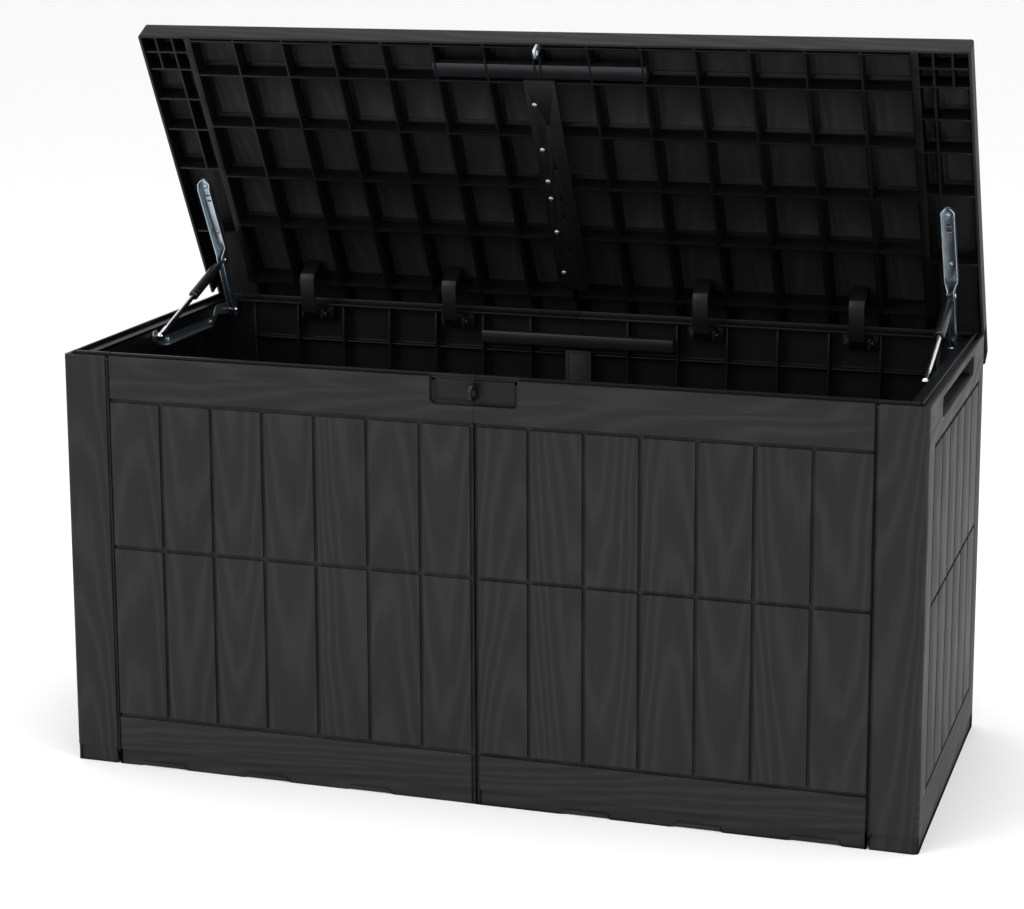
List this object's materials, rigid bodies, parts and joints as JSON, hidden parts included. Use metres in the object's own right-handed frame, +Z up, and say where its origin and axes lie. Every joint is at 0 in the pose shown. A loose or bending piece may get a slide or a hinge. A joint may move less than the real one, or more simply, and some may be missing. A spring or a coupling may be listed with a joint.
{
  "type": "deck storage box",
  "caption": "Rectangular resin deck storage chest with wood-grained plank panels and a full-width ribbed lid, standing open on gooseneck hinges and gas lid stays.",
  "frame": {"origin": "on the ground under the middle of the box", "axes": "+X to the right along the length, front towards -Y, +Z up"},
  "size_m": [1.214, 0.5709, 1.0326],
  "materials": {
    "resin": "charcoal resin, moulded wood grain, low sheen",
    "dark_resin": "near-black smooth resin",
    "black_steel": "black paint, half gloss",
    "zinc": "bright zinc plate with a cool tint",
    "polished_steel": "ground and polished rod"
  },
  "bodies": {
    "box": {"front_panel_left": "resin", "back_panel_left": "resin", "side_panel_left": "resin", "floor_panel_left": "dark_resin", "front_panel_right": "resin", "back_panel_right": "resin", "side_panel_right": "resin", "floor_panel_right": "dark_resin", "floor_joint_rail": "dark_resin", "front_joint_cover": "dark_resin", "back_joint_cover": "dark_resin", "back_reinforcement_tube": "black_steel", "padlock_loop": "dark_resin", "hinge_bracket_1": "dark_resin", "hinge_pin_1": "black_steel", "hinge_bracket_2": "dark_resin", "hinge_pin_2": "black_steel", "hinge_bracket_3": "dark_resin", "hinge_pin_3": "black_steel", "hinge_bracket_4": "dark_resin", "hinge_pin_4": "black_steel", "wall_arm_left": "zinc", "wall_arm_screw_left_1": "zinc", "wall_arm_screw_left_2": "zinc", "axis_rivet_left": "polished_steel", "wall_arm_right": "zinc", "wall_arm_screw_right_1": "zinc", "wall_arm_screw_right_2": "zinc", "axis_rivet_right": "polished_steel"},
    "lid": {"lid_panel_left": "resin", "lid_panel_right": "resin", "lid_joint_plate": "dark_resin", "lid_reinforcement_tube": "black_steel", "lid_latch_tab": "zinc", "lid_joint_screw_1": "zinc", "lid_joint_screw_2": "zinc", "lid_joint_screw_3": "zinc", "lid_joint_screw_4": "zinc", "lid_joint_screw_5": "zinc", "lid_joint_screw_6": "zinc", "hinge_strap_1": "dark_resin", "hinge_strap_2": "dark_resin", "hinge_strap_3": "dark_resin", "hinge_strap_4": "dark_resin", "lid_bracket_left": "zinc", "lid_bracket_screw_left_1": "zinc", "lid_bracket_screw_left_2": "zinc", "stay_pin_left": "polished_steel", "lid_bracket_right": "zinc", "lid_bracket_screw_right_1": "zinc", "lid_bracket_screw_right_2": "zinc", "stay_pin_right": "polished_steel"},
    "cylinder_left": {"gas_cylinder_left": "black_steel"},
    "cylinder_right": {"gas_cylinder_right": "black_steel"},
    "rod_left": {"gas_rod_left": "polished_steel", "foot_stud_left": "polished_steel"},
    "rod_right": {"gas_rod_right": "polished_steel", "foot_stud_right": "polished_steel"}
  },
  "joints": [
    {"name": "lid_hinge", "type": "hinge", "parent": "box", "child": "lid", "pos_m": [0, 0.228, 0.576], "axis": [1, 0, 0], "range_deg": [0, 61]},
    {"name": "stay_pivot_left", "type": "hinge", "parent": "lid", "child": "cylinder_left", "pos_m": [-0.565, 0.19202, 0.6601], "axis": [1, 0, 0], "range_deg": [-79, 0]},
    {"name": "stay_slide_left", "type": "slide", "parent": "cylinder_left", "child": "rod_left", "axis": [0, 0.943, 0.3327], "range_m": [0, 0.0692]},
    {"name": "stay_pivot_right", "type": "hinge", "parent": "lid", "child": "cylinder_right", "pos_m": [0.565, 0.19202, 0.6601], "axis": [1, 0, 0], "range_deg": [-79, 0]},
    {"name": "stay_slide_right", "type": "slide", "parent": "cylinder_right", "child": "rod_right", "axis": [0, 0.943, 0.3327], "range_m": [0, 0.0692]}
  ],
  "couplings": [
    {"joint": "stay_pivot_left", "follows": "lid_hinge", "ratio": -1.2897},
    {"joint": "stay_slide_left", "follows": "lid_hinge", "m_per_rad": 0.064482},
    {"joint": "stay_pivot_right", "follows": "lid_hinge", "ratio": -1.2897},
    {"joint": "stay_slide_right", "follows": "lid_hinge", "m_per_rad": 0.064482}
  ]
}
